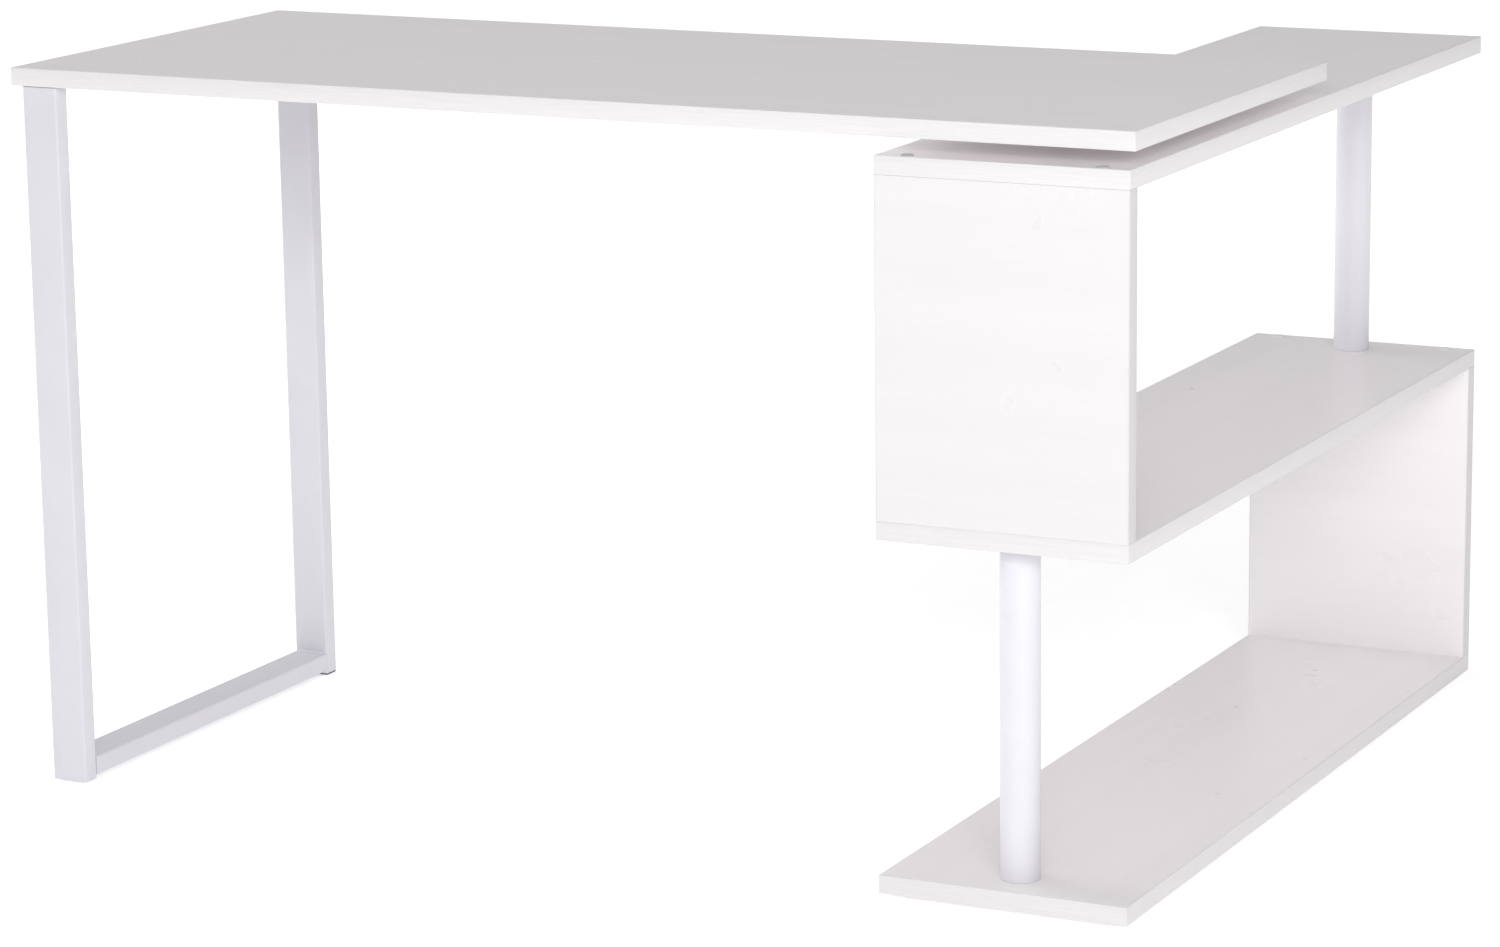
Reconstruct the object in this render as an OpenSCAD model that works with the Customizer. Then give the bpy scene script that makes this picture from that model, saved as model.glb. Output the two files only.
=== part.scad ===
// Corner desk: a long desktop on a steel leg frame, whose other end turns on a pivot
// over a narrow S-shaped shelf unit.
//
// Frame: X runs along the desktop, Y along the shelf unit, Z up from the floor.
// The origin is on the floor under the middle of the whole desk. The desktop's right
// end is flush with the shelf unit's right side.

/* [Overall] */
// Height of the desktop's top face above the floor
total_h = 735; // [600:5:900]
// Thickness of every board and panel
board_t = 18; // [15:0.2:25]
// Thickness of the edge banding
band_t = 1; // [0.5:0.1:2]

/* [Desktop] */
// Length of the desktop
desk_len = 1200; // [900:10:1600]
// Depth of the desktop
desk_depth = 500; // [350:10:700]
// How far the desktop's front edge stands behind the shelf unit's front end
desk_setback = 12; // [0:1:60]

/* [Shelf unit] */
// Length of the shelf unit
shelf_len = 1000; // [700:10:1400]
// Width of the shelf unit
shelf_w = 250; // [200:10:400]
// Outside diameter of the round posts
post_d = 38; // [30:1:60]
// Wall of the round posts
post_wall = 1.5; // [1:0.1:3]
// Distance from a board's end to the middle of its post
post_inset = 45; // [35:1:120]
// Height of the sockets inside the ends of a post
socket_h = 12; // [8:1:20]

/* [Leg frame] */
// Width of the leg tube, along the desktop
tube_w = 40; // [25:1:60]
// Thickness of the leg tube, across the desktop
tube_d = 20; // [15:1:40]
// Wall of the leg tube
tube_wall = 1.5; // [1:0.1:3]
// Outside corner radius of the leg tube
tube_r = 2.5; // [1:0.1:4]
// Distance from the desktop's left end to the legs
leg_inset_x = 10; // [0:1:80]
// Distance from the desktop's front and back edges to the legs
leg_inset_y = 4; // [0:1:80]
// Thickness of the flat bar under the desktop
bar_t = 4; // [3:0.5:6]
// Width of the flat bar under the desktop
bar_w = 34; // [20:1:50]
// Thickness of the foot pads
pad_t = 1.5; // [1:0.5:6]
// Height of the floor rail above the lower ends of the legs
rail_lift = 3; // [0:0.5:20]
// Thickness of the plug's head between a leg and the desktop
plug_t = 1; // [0.5:0.5:4]

/* [Swivel] */
// Side of the two square swivel plates
plate_w = 120; // [90:5:150]
// Thickness of the swivel plates
plate_t = 3; // [2:0.5:5]
// Outside diameter of the slip ring
ring_od = 108; // [80:2:110]
// Inside diameter of the slip ring
ring_id = 44; // [30:2:60]
// Thickness of the slip ring
ring_t = 9; // [5:0.5:15]
// Diameter of the pivot pin
pivot_d = 12; // [8:0.5:18]
// Radial running clearance between the pivot pin and its bush
pivot_clear = 0.05; // [0.02:0.01:0.1]
// Wall of the pivot bush
bush_wall = 2.5; // [1.5:0.5:4]
// Thickness of the bush's flange
flange_t = 2; // [1.5:0.5:4]

/* [Fittings] */
// Height of the glides under the shelf unit
glide_h = 4; // [3:0.5:10]
// Diameter of the glides
glide_d = 24; // [16:1:40]
// Diameter of the wood screws
screw_d = 4.5; // [3.5:0.5:5]
// Diameter of the shank of the panel screws
conf_d = 5; // [4:0.5:7]
// Length of the panel screws
conf_len = 50; // [45:5:70]
// Distance from the shelf unit's sides to the panel screws
conf_inset = 30; // [20:1:60]
// Diameter of the dowels
dowel_d = 8; // [6:1:10]
// How deep a dowel goes into a board
dowel_in_board = 10; // [8:1:12]
// How deep a dowel goes into a panel
dowel_in_panel = 22; // [15:1:30]

/* [Hidden] */
$fn = 64;

// Colours
white_board = [0.93, 0.92, 0.92];
white_edge = [0.97, 0.97, 0.97];
white_paint = [0.92, 0.92, 0.95];
zinc = [0.72, 0.74, 0.76];
beech = [0.80, 0.64, 0.44];
black_plastic = [0.08, 0.08, 0.09];
grey_plastic = [0.50, 0.50, 0.52];
ivory_nylon = [0.90, 0.88, 0.82];

// Small play between a screw or dowel and its hole, on the radius
hole_play = 0.1;
// Play between a socket and the inside of its tube, on the radius
socket_play = 0.2;
// Overshoot of a cutting body past the face it cuts
cut = 1;
// Small bevel on turned parts
bevel = 1;

// Heights of the undersides, from the floor up
swivel_gap = 2 * plate_t + ring_t;
bay_h = (total_h - glide_h - 4 * board_t - swivel_gap) / 2;
z_bottom = glide_h;
z_lower_bay = z_bottom + board_t;
z_middle = z_lower_bay + bay_h;
z_upper_bay = z_middle + board_t;
z_top = z_upper_bay + bay_h;
z_swivel = z_top + board_t;
z_desk = z_swivel + swivel_gap;

// Plan of the shelf unit
shelf_x0 = desk_len / 2 - shelf_w;
shelf_x1 = desk_len / 2;
shelf_xm = (shelf_x0 + shelf_x1) / 2;
shelf_y0 = -shelf_len / 2;
shelf_y1 = shelf_len / 2;

// Plan of the desk
desk_x0 = -desk_len / 2;
desk_x1 = desk_len / 2;
desk_y0 = shelf_y0 + desk_setback;
desk_y1 = desk_y0 + desk_depth;
pivot_x = shelf_xm;
pivot_y = (desk_y0 + desk_y1) / 2;

// Leg frame
leg_x0 = desk_x0 + leg_inset_x;
leg_xm = leg_x0 + tube_w / 2;
leg_y0 = desk_y0 + leg_inset_y;
leg_y1 = desk_y1 - leg_inset_y;
leg_top = z_desk - plug_t;
rail_z = pad_t + rail_lift;

// Plugs in the upper ends of the legs
plug_play = 0.2;
plug_depth = 12;

// Posts: each stands in the middle of the unit's width
lower_post_y = shelf_y0 + post_inset;
upper_post_y = shelf_y1 - post_inset;
socket_d = post_d - 2 * post_wall - 2 * socket_play;
socket_ends = [[lower_post_y, z_lower_bay, 1], [lower_post_y, z_middle, -1],
               [upper_post_y, z_upper_bay, 1], [upper_post_y, z_top, -1]];

// Wood screws
screw_head_d = 2 * screw_d;
screw_head_h = screw_d / 2;
screw_tip_d = screw_d / 3;
screw_drive_d = 0.6 * screw_d;
wood_past_tip = 6;
screw_in_board = board_t - wood_past_tip;
plate_screw_len = plate_t + screw_in_board;
socket_screw_len = socket_h + screw_in_board;
glide_recess = 1;
glide_screw_len = glide_h - glide_recess + screw_in_board;
bar_screw_len = bar_t + screw_in_board;
pan_head_h = 2.5;

// Panel screws: [y of the panel's middle, z of the board's outer face, direction in]
panel_front_y = shelf_y0 + board_t / 2;
panel_rear_y = shelf_y1 - board_t / 2;
conf_head_d = 2 * conf_d;
conf_head_h = conf_d / 2;
conf_neck_d = 1.4 * conf_d;
conf_neck_h = board_t - conf_head_h;
conf_ends = [[panel_front_y, z_swivel, -1], [panel_front_y, z_middle, 1],
             [panel_rear_y, z_upper_bay, -1], [panel_rear_y, z_bottom, 1]];
conf_x = [shelf_x0 + conf_inset, shelf_x1 - conf_inset];
hex_key = 0.55 * conf_d;
hex_depth = 0.6 * conf_d;

// Caps cover the screw heads of the first three pairs
cap_rim = 1;
cap_d = conf_head_d + 2 * cap_rim;
cap_h = 1;
capped_ends = [for (k = [0 : 2]) conf_ends[k]];

// Dowels: [y of the panel's middle, z of the joint, direction into the board]
dowel_spacing = 35;
dowel_inset = conf_inset + dowel_spacing;
dowel_x = [shelf_x0 + dowel_inset, shelf_x1 - dowel_inset];
dowel_joints = [[panel_front_y, z_top, 1], [panel_front_y, z_upper_bay, -1],
                [panel_rear_y, z_middle, 1], [panel_rear_y, z_lower_bay, -1]];

// Glides and foot pads
glide_inset = 28;
glide_x = [shelf_x0 + glide_inset, shelf_x1 - glide_inset];
glide_y = [shelf_y0 + glide_inset, shelf_y1 - glide_inset];
pad_w = tube_w / 2;
pad_r = 1.5;
pad_edge = 0.5;
front_pad_l = 0.6 * tube_d;
rear_pad_l = tube_d - 2 * pad_edge;
front_pad_y = leg_y0 + tube_d - pad_edge - front_pad_l / 2;
rear_pad_y = leg_y1 - tube_d / 2;
front_pad_x = leg_xm;
rear_pad_x = leg_x0 + tube_w - pad_edge - pad_w / 2;

// Swivel
plate_r = 8;
plate_hole_inset = 12;
plate_hole = plate_w / 2 - plate_hole_inset;
bush_od = pivot_d + 2 * pivot_clear + 2 * bush_wall;
flange_rim = 7;
flange_d = bush_od + 2 * flange_rim;
washer_t = 2.5;
washer_od = 2.5 * pivot_d;
nut_h = 0.85 * pivot_d;
nut_af = 1.6 * pivot_d;
pin_past_nut = 3;
pin_top = z_desk - plate_t;
pin_bottom = z_top - flange_t - washer_t - nut_h - pin_past_nut;
pin_weld_w = 4;
pin_weld_d = pivot_d + 2 * pin_weld_w;
pin_weld_h = 2;

// Bar screws stand at these shares of the way between the legs
bar_y0 = leg_y0 + tube_d;
bar_y1 = leg_y1 - tube_d;
bar_screw_end = 40;
bar_screw_step = (bar_y1 - bar_y0 - 2 * bar_screw_end) / 3;
bar_screws = [for (k = [0 : 3]) bar_y0 + bar_screw_end + k * bar_screw_step];

// ---- shapes used more than once ----

// A flat slab given by its two corners in plan
module slab(x0, y0, z0, x1, y1, h)
    translate([x0, y0, z0])
        cube([x1 - x0, y1 - y0, h]);

// The core of a board inside its banding on all four edges
module board_core(z)
    slab(shelf_x0 + band_t, shelf_y0 + band_t, z, shelf_x1 - band_t, shelf_y1 - band_t, board_t);

// Banding round all four edges of a rectangle: the long strips run through
module banding(x0, y0, z0, x1, y1, h) {
    slab(x0, y0, z0, x1, y0 + band_t, h);
    slab(x0, y1 - band_t, z0, x1, y1, h);
    slab(x0, y0 + band_t, z0, x0 + band_t, y1 - band_t, h);
    slab(x1 - band_t, y0 + band_t, z0, x1, y1 - band_t, h);
}

// Round rod from z = 0 towards the given direction
module rod(d, h, dir = 1)
    translate([0, 0, dir > 0 ? 0 : -h])
        cylinder(d = d, h = h);

// Countersunk wood screw, its head's face at z = 0 and its shank towards dir
module countersunk_screw(len, dir) {
    mirror([0, 0, dir > 0 ? 0 : 1]) {
        difference() {
            cylinder(d1 = screw_head_d, d2 = screw_d, h = screw_head_h);
            translate([0, 0, -cut])
                cylinder(d = screw_drive_d, h = cut + screw_head_h / 2, $fn = 6);
        }
        translate([0, 0, screw_head_h])
            cylinder(d = screw_d, h = len - screw_head_h - screw_d);
        translate([0, 0, len - screw_d])
            cylinder(d1 = screw_d, d2 = screw_tip_d, h = screw_d);
    }
}

// The countersink for that screw in a plate
module countersink(len, dir)
    mirror([0, 0, dir > 0 ? 0 : 1])
        union() {
            translate([0, 0, -cut])
                cylinder(d = screw_head_d + 2 * hole_play, h = cut);
            cylinder(d1 = screw_head_d + 2 * hole_play, d2 = screw_d + 2 * hole_play, h = screw_head_h);
            cylinder(d = screw_d + 2 * hole_play, h = len);
        }

// Plate with rounded corners, centred on the origin
module rounded_plate(w, d, h, r) {
    translate([-w / 2 + r, -d / 2, 0])
        cube([w - 2 * r, d, h]);
    translate([-w / 2, -d / 2 + r, 0])
        cube([w, d - 2 * r, h]);
    for (sx = [-1, 1], sy = [-1, 1])
        translate([sx * (w / 2 - r), sy * (d / 2 - r), 0])
            cylinder(r = r, h = h);
}

// What fills the inside of the rectangular tube, less some play on every side
module tube_core(h, play)
    rounded_plate(tube_w - 2 * (tube_wall + play), tube_d - 2 * (tube_wall + play), h,
                  max(tube_r - tube_wall, 0.5));

// The corners of a square pattern round the pivot
module at_plate_holes()
    for (sx = [-1, 1], sy = [-1, 1])
        translate([pivot_x + sx * plate_hole, pivot_y + sy * plate_hole, 0])
            children();

// Every place where a panel screw goes in, its head's face at the child's z = 0
module at_panel_screws(ends)
    for (e = ends, x = conf_x)
        translate([x, e[0], e[1]])
            mirror([0, 0, e[2] > 0 ? 0 : 1])
                children();

// Panel screw: countersunk head, plain neck through the board, thread into the panel
module panel_screw()
    difference() {
        union() {
            cylinder(d1 = conf_head_d, d2 = conf_neck_d, h = conf_head_h);
            translate([0, 0, conf_head_h])
                cylinder(d = conf_neck_d, h = conf_neck_h);
            translate([0, 0, conf_head_h + conf_neck_h])
                cylinder(d = conf_d, h = conf_len - conf_head_h - conf_neck_h);
        }
        translate([0, 0, -cut])
            cylinder(d = hex_key, h = cut + hex_depth, $fn = 6);
    }

// The stepped hole for a panel screw, through the board and into the panel
module panel_screw_holes()
    at_panel_screws(conf_ends) {
        translate([0, 0, -cut])
            cylinder(d = conf_head_d + 2 * hole_play, h = cut);
        cylinder(d1 = conf_head_d + 2 * hole_play, d2 = conf_neck_d + 2 * hole_play, h = conf_head_h);
        cylinder(d = conf_neck_d + 2 * hole_play, h = board_t);
        cylinder(d = conf_d + 2 * hole_play, h = conf_len);
    }

// A dowel or its hole at every place where one goes
module dowels(d)
    for (j = dowel_joints, x = dowel_x)
        translate([x, j[0], j[1]])
            mirror([0, 0, j[2] > 0 ? 0 : 1])
                translate([0, 0, -dowel_in_panel])
                    cylinder(d = d, h = dowel_in_panel + dowel_in_board);

// A screw hole at every socket
module socket_screw_holes()
    for (s = socket_ends)
        translate([shelf_xm, s[0], s[1] + s[2] * socket_h])
            rod(screw_d + 2 * hole_play, socket_screw_len, -s[2]);

// A pilot hole over every glide
module glide_screw_holes()
    for (x = glide_x, y = glide_y)
        translate([x, y, glide_recess])
            rod(screw_d + 2 * hole_play, glide_screw_len);

// Screw holes of both swivel plates
module base_plate_holes()
    at_plate_holes()
        translate([0, 0, z_swivel + plate_t])
            countersink(plate_screw_len, -1);

module top_plate_holes()
    at_plate_holes()
        translate([0, 0, z_desk - plate_t])
            countersink(plate_screw_len, 1);

// Screw holes through the flat bar and up into the desktop
module bar_holes()
    for (y = bar_screws)
        translate([leg_xm, y, z_desk - bar_t])
            rod(screw_d + 2 * hole_play, bar_screw_len);

// A panel between two boards, its banding on the two upright edges
module panel_core(y_mid, z)
    difference() {
        slab(shelf_x0 + band_t, y_mid - board_t / 2, z, shelf_x1 - band_t, y_mid + board_t / 2, bay_h);
        panel_screw_holes();
        dowels(dowel_d + 2 * hole_play);
    }

module panel_banding(y_mid, z)
    for (x = [shelf_x0, shelf_x1 - band_t])
        slab(x, y_mid - board_t / 2, z, x + band_t, y_mid + board_t / 2, bay_h);

// A round post from z up to the next board
module post(y, z)
    translate([shelf_xm, y, z])
        difference() {
            cylinder(d = post_d, h = bay_h);
            translate([0, 0, -cut])
                cylinder(d = post_d - 2 * post_wall, h = bay_h + 2 * cut);
        }

// ---- shelf unit ----

module bottom_board()
    color(white_board)
        difference() {
            board_core(z_bottom);
            panel_screw_holes();
            dowels(dowel_d + 2 * hole_play);
            socket_screw_holes();
            glide_screw_holes();
        }

module middle_board()
    color(white_board)
        difference() {
            board_core(z_middle);
            panel_screw_holes();
            dowels(dowel_d + 2 * hole_play);
            socket_screw_holes();
        }

module top_board()
    color(white_board)
        difference() {
            board_core(z_top);
            panel_screw_holes();
            dowels(dowel_d + 2 * hole_play);
            socket_screw_holes();
            base_plate_holes();
            translate([pivot_x, pivot_y, z_top - cut])
                cylinder(d = bush_od, h = board_t + 2 * cut);
        }

module front_panel()
    color(white_board)
        panel_core(panel_front_y, z_upper_bay);

module rear_panel()
    color(white_board)
        panel_core(panel_rear_y, z_lower_bay);

module board_banding(z)
    color(white_edge)
        banding(shelf_x0, shelf_y0, z, shelf_x1, shelf_y1, board_t);

module bottom_board_banding() board_banding(z_bottom);
module middle_board_banding() board_banding(z_middle);
module top_board_banding() board_banding(z_top);

module front_panel_banding()
    color(white_edge)
        panel_banding(panel_front_y, z_upper_bay);

module rear_panel_banding()
    color(white_edge)
        panel_banding(panel_rear_y, z_lower_bay);

module lower_post()
    color(white_paint)
        post(lower_post_y, z_lower_bay);

module upper_post()
    color(white_paint)
        post(upper_post_y, z_upper_bay);

// A flat disc at each end of both posts, inside the tube
module post_sockets()
    color(grey_plastic)
        for (s = socket_ends)
            translate([shelf_xm, s[0], s[1]])
                difference() {
                    rod(socket_d, socket_h, s[2]);
                    translate([0, 0, s[2] * socket_h])
                        countersink(socket_h + cut, -s[2]);
                }

module post_socket_screws()
    color(zinc)
        for (s = socket_ends)
            translate([shelf_xm, s[0], s[1] + s[2] * socket_h])
                countersunk_screw(socket_screw_len, -s[2]);

module panel_screws()
    color(zinc)
        at_panel_screws(conf_ends)
            panel_screw();

module panel_dowels()
    color(beech)
        dowels(dowel_d);

// A low cap over a screw head, with a peg that stands in the hexagon
module screw_caps()
    color(white_edge)
        at_panel_screws(capped_ends) {
            translate([0, 0, -cap_h])
                cylinder(d1 = cap_d - cap_h, d2 = cap_d, h = cap_h);
            cylinder(d = hex_key - 4 * hole_play, h = hex_depth, $fn = 6);
        }

module floor_glides()
    color(ivory_nylon)
        for (x = glide_x, y = glide_y)
            translate([x, y, 0])
                difference() {
                    union() {
                        cylinder(d1 = glide_d - 2 * bevel, d2 = glide_d, h = bevel);
                        translate([0, 0, bevel])
                            cylinder(d = glide_d, h = glide_h - bevel);
                    }
                    translate([0, 0, glide_recess])
                        countersink(glide_h, 1);
                }

module glide_screws()
    color(zinc)
        for (x = glide_x, y = glide_y)
            translate([x, y, glide_recess])
                countersunk_screw(glide_screw_len, 1);

module swivel_base_plate()
    color(zinc)
        difference() {
            translate([pivot_x, pivot_y, z_swivel])
                rounded_plate(plate_w, plate_w, plate_t, plate_r);
            base_plate_holes();
            translate([pivot_x, pivot_y, z_swivel - cut])
                cylinder(d = bush_od, h = plate_t + 2 * cut);
        }

module base_plate_screws()
    color(zinc)
        at_plate_holes()
            translate([0, 0, z_swivel + plate_t])
                countersunk_screw(plate_screw_len, -1);

// Ring on which the upper plate slides
module slip_ring()
    color(ivory_nylon)
        translate([pivot_x, pivot_y, z_swivel + plate_t])
            difference() {
                cylinder(d = ring_od, h = ring_t);
                translate([0, 0, -cut])
                    cylinder(d = ring_id, h = ring_t + 2 * cut);
            }

// Sleeve through the top board and the lower plate, with its flange under the board
module pivot_bush()
    color(ivory_nylon)
        translate([pivot_x, pivot_y, z_top])
            difference() {
                union() {
                    cylinder(d = bush_od, h = board_t + plate_t);
                    rod(flange_d, flange_t, -1);
                }
                translate([0, 0, -flange_t - cut])
                    cylinder(d = pivot_d + 2 * pivot_clear, h = flange_t + board_t + plate_t + 2 * cut);
            }

// ---- desk ----

module desktop()
    color(white_board)
        difference() {
            slab(desk_x0 + band_t, desk_y0 + band_t, z_desk, desk_x1 - band_t, desk_y1 - band_t, board_t);
            top_plate_holes();
            bar_holes();
        }

module desktop_banding()
    color(white_edge)
        banding(desk_x0, desk_y0, z_desk, desk_x1, desk_y1, board_t);

module swivel_top_plate()
    color(zinc)
        difference() {
            translate([pivot_x, pivot_y, z_desk - plate_t])
                rounded_plate(plate_w, plate_w, plate_t, plate_r);
            top_plate_holes();
        }

module top_plate_screws()
    color(zinc)
        at_plate_holes()
            translate([0, 0, z_desk - plate_t])
                countersunk_screw(plate_screw_len, 1);

// Pin with its weld collar, standing on the upper plate's lower face
module pivot_pin()
    color(zinc)
        translate([pivot_x, pivot_y, 0]) {
            translate([0, 0, pin_bottom + bevel])
                cylinder(d = pivot_d, h = pin_top - pin_bottom - bevel);
            translate([0, 0, pin_bottom])
                cylinder(d1 = pivot_d - 2 * bevel, d2 = pivot_d, h = bevel);
            translate([0, 0, pin_top - pin_weld_h])
                cylinder(d1 = pivot_d, d2 = pin_weld_d, h = pin_weld_h);
        }

module pivot_washer()
    color(zinc)
        translate([pivot_x, pivot_y, z_top - flange_t - washer_t])
            difference() {
                cylinder(d = washer_od, h = washer_t);
                translate([0, 0, -cut])
                    cylinder(d = pivot_d + 2 * hole_play, h = washer_t + 2 * cut);
            }

module pivot_lock_nut()
    color(zinc)
        translate([pivot_x, pivot_y, z_top - flange_t - washer_t - nut_h])
            difference() {
                cylinder(d = nut_af / cos(30), h = nut_h, $fn = 6);
                translate([0, 0, -cut])
                    cylinder(d = pivot_d + 2 * pivot_clear, h = nut_h + 2 * cut);
            }

// A leg on one side of the frame, its lower end closed by a welded plate
module leg(y_mid)
    color(white_paint)
        translate([leg_xm, y_mid, pad_t])
            difference() {
                rounded_plate(tube_w, tube_d, leg_top - pad_t, tube_r);
                translate([0, 0, tube_wall])
                    tube_core(leg_top - pad_t, 0);
            }

module front_leg() leg(leg_y0 + tube_d / 2);
module rear_leg() leg(leg_y1 - tube_d / 2);

// Rail just above the floor, welded between the inner faces of the legs
module floor_rail()
    color(white_paint)
        translate([leg_xm, leg_y1 - tube_d, rail_z + tube_d / 2])
            rotate([90, 0, 0])
                difference() {
                    rounded_plate(tube_w, tube_d, leg_y1 - leg_y0 - 2 * tube_d, tube_r);
                    translate([0, 0, -cut])
                        tube_core(leg_y1 - leg_y0, 0);
                }

// Plugs in the open upper ends of the legs, whose flat heads carry the desktop
module leg_plugs()
    color(grey_plastic)
        for (y = [leg_y0 + tube_d / 2, leg_y1 - tube_d / 2])
            translate([leg_xm, y, leg_top]) {
                rounded_plate(tube_w, tube_d, plug_t, tube_r);
                translate([0, 0, -plug_depth])
                    tube_core(plug_depth, plug_play);
            }

// Flat bar welded between the tops of the legs
module top_bar()
    color(white_paint)
        difference() {
            slab(leg_xm - bar_w / 2, bar_y0, z_desk - bar_t, leg_xm + bar_w / 2, bar_y1, bar_t);
            bar_holes();
        }

// Pan-head screws up through the flat bar
module top_bar_screws()
    color(zinc)
        for (y = bar_screws)
            translate([leg_xm, y, z_desk - bar_t]) {
                translate([0, 0, -pan_head_h])
                    cylinder(d1 = screw_head_d - 2 * bevel, d2 = screw_head_d, h = pan_head_h);
                cylinder(d = screw_d, h = bar_screw_len - screw_d);
                translate([0, 0, bar_screw_len - screw_d])
                    cylinder(d1 = screw_d, d2 = screw_tip_d, h = screw_d);
            }

// Pads under the legs: the front one lies at the inner side, the rear one is full depth
module foot_pads()
    color(black_plastic) {
        translate([front_pad_x, front_pad_y, 0])
            rounded_plate(pad_w, front_pad_l, pad_t, pad_r);
        translate([rear_pad_x, rear_pad_y, 0])
            rounded_plate(pad_w, rear_pad_l, pad_t, pad_r);
    }

bottom_board();
middle_board();
top_board();
front_panel();
rear_panel();
bottom_board_banding();
middle_board_banding();
top_board_banding();
front_panel_banding();
rear_panel_banding();
lower_post();
upper_post();
post_sockets();
post_socket_screws();
panel_screws();
panel_dowels();
screw_caps();
floor_glides();
glide_screws();
swivel_base_plate();
base_plate_screws();
slip_ring();
pivot_bush();
desktop();
desktop_banding();
swivel_top_plate();
top_plate_screws();
pivot_pin();
pivot_washer();
pivot_lock_nut();
front_leg();
rear_leg();
floor_rail();
leg_plugs();
top_bar();
top_bar_screws();
foot_pads();
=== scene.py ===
"""Corner desk: a white melamine desktop on a powder-coated leg frame that swivels over an
S-shaped shelf unit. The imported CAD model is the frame; this script adds the finishes and
the pieces whose shape needs more than the CAD gives, in metres, in the same frame."""
import math

import bmesh
import bpy
from mathutils import Matrix, Vector


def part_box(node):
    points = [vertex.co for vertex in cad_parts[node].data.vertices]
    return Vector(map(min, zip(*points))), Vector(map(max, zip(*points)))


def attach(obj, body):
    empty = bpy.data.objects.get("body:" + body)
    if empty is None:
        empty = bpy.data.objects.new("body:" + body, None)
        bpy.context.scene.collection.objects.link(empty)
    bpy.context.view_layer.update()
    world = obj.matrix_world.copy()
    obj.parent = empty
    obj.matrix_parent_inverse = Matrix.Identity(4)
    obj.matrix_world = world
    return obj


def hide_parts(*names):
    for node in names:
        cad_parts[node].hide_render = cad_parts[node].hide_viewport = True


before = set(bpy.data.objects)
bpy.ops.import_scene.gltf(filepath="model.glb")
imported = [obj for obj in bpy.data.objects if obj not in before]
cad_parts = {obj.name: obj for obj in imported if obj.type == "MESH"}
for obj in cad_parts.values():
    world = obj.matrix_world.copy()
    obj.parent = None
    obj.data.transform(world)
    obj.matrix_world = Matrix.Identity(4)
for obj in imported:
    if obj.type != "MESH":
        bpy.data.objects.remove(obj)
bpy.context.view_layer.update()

MM = 0.001

# Camera: where it stands, which way it looks and how far it leans, and its lens
CAMERA_AT = Vector((2.1467, -4.3553, 1.3485))
CAMERA_AZIMUTH = math.radians(26.54)
CAMERA_DOWN = math.radians(12.47)
CAMERA_ROLL = math.radians(-0.76)
CAMERA_LENS = 113.8
CAMERA_SENSOR = 36

# The studio: the sky, and the floor of paper with its own glow near the desk's middle and
# further off
SKY = 0.55
FLOOR_SIZE = 60
NEAR_GLOW, NEAR = 0.32, 0.5
FAR_GLOW, FAR = 0.55, 4.0

# Softboxes in watts, and how far the one in the gap hangs below the desktop
KEY_POWER = 92
HIGH_POWER = 26
LEFT_POWER = 120
LOW_POWER = 12
GAP_POWER = 0.07
GAP_LIGHT_DROP = 0.5 * MM

# Edge banding: its thickness, its rounded outer edge and the fine groove where it meets the board
BAND_T = 1.0 * MM
BAND_EASE = 0.6 * MM
SEAM = 0.12 * MM

# Tubes: the corner of the leg tube, the walls, and the deburred rims
TUBE_R = 2.5 * MM
TUBE_WALL = 1.5 * MM
POST_WALL = 1.5 * MM
RIM_EASE = 0.5 * MM

# Weld beads: the rod's radius and sides, the distance between ripples, and a hollow's share of
# the radius
BEAD_R = 2.2 * MM
BEAD_SIDES = 16
BEAD_PITCH = 1.6 * MM
BEAD_HOLLOW = 0.86

# Foot pads: how far in from the legs' faces, their width, the front one's length, their rounding
PAD_EDGE = 0.5 * MM
PAD_WIDTH = 20 * MM
FRONT_PAD_LENGTH = 12 * MM
PAD_CORNER = 1.5 * MM
PAD_SOLE = 0.4 * MM

# Leg plugs: the play in the tube and the stub's wall
PLUG_PLAY = 0.2 * MM
PLUG_WALL = 2 * MM

# Glides: their radius, the recess for the screw, and their rounded rims
GLIDE_R = 12 * MM
GLIDE_RECESS_R = 4.6 * MM
GLIDE_EASE = 0.8 * MM

# Cover caps: their size, then from the outside in the rim, the slope and the start of the dish
CAP_R = 6 * MM
CAP_HEIGHT = 1 * MM
CAP_RIM = 1.3 * MM
CAP_SLOPE = 0.9 * MM
CAP_DISH_DEPTH = 0.6 * MM
CAP_DISH_EDGE = 1.2 * MM
CAP_EASE = 0.55 * MM
CAP_SIDES = 48

# Slip ring and washer: bore, outer radius and rounded rims
RING_BORE_R, RING_R, RING_EASE = 22 * MM, 54 * MM, 1.2 * MM
WASHER_BORE_R, WASHER_R, WASHER_EASE = 6.1 * MM, 15 * MM, 0.4 * MM

# Lock nut: its bore and chamfer, the hexagon's share of its height, and the collar's share of
# its radius, how far it is sunk in the hexagon and its rounded rim
NUT_BORE_R = 6.05 * MM
NUT_CHAMFER = 0.5 * MM
HEX_SHARE = 0.72
COLLAR_SHARE = 0.8
COLLAR_SUNK = 0.5 * MM
COLLAR_EASE = 0.9 * MM

# Edges this near an outer radius lie on it, points closer than the next value are merged, and
# edges shallower than the angle are smoothed
JUST_INSIDE = 0.1 * MM
SAME_POINT = 0.001 * MM
SMOOTH_ANGLE = math.radians(35)

ROUND_SIDES = 96
ALONG_X, ALONG_Y, ALONG_Z = 0, 1, 2
SHELF, DESK = "shelf_unit", "desk"


# ---------------------------------------------------------------- modelling helpers

def deselect():
    """Nothing selected, in object mode."""
    if bpy.context.object and bpy.context.object.mode != "OBJECT":
        bpy.ops.object.mode_set(mode="OBJECT")
    bpy.ops.object.select_all(action="DESELECT")


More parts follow.
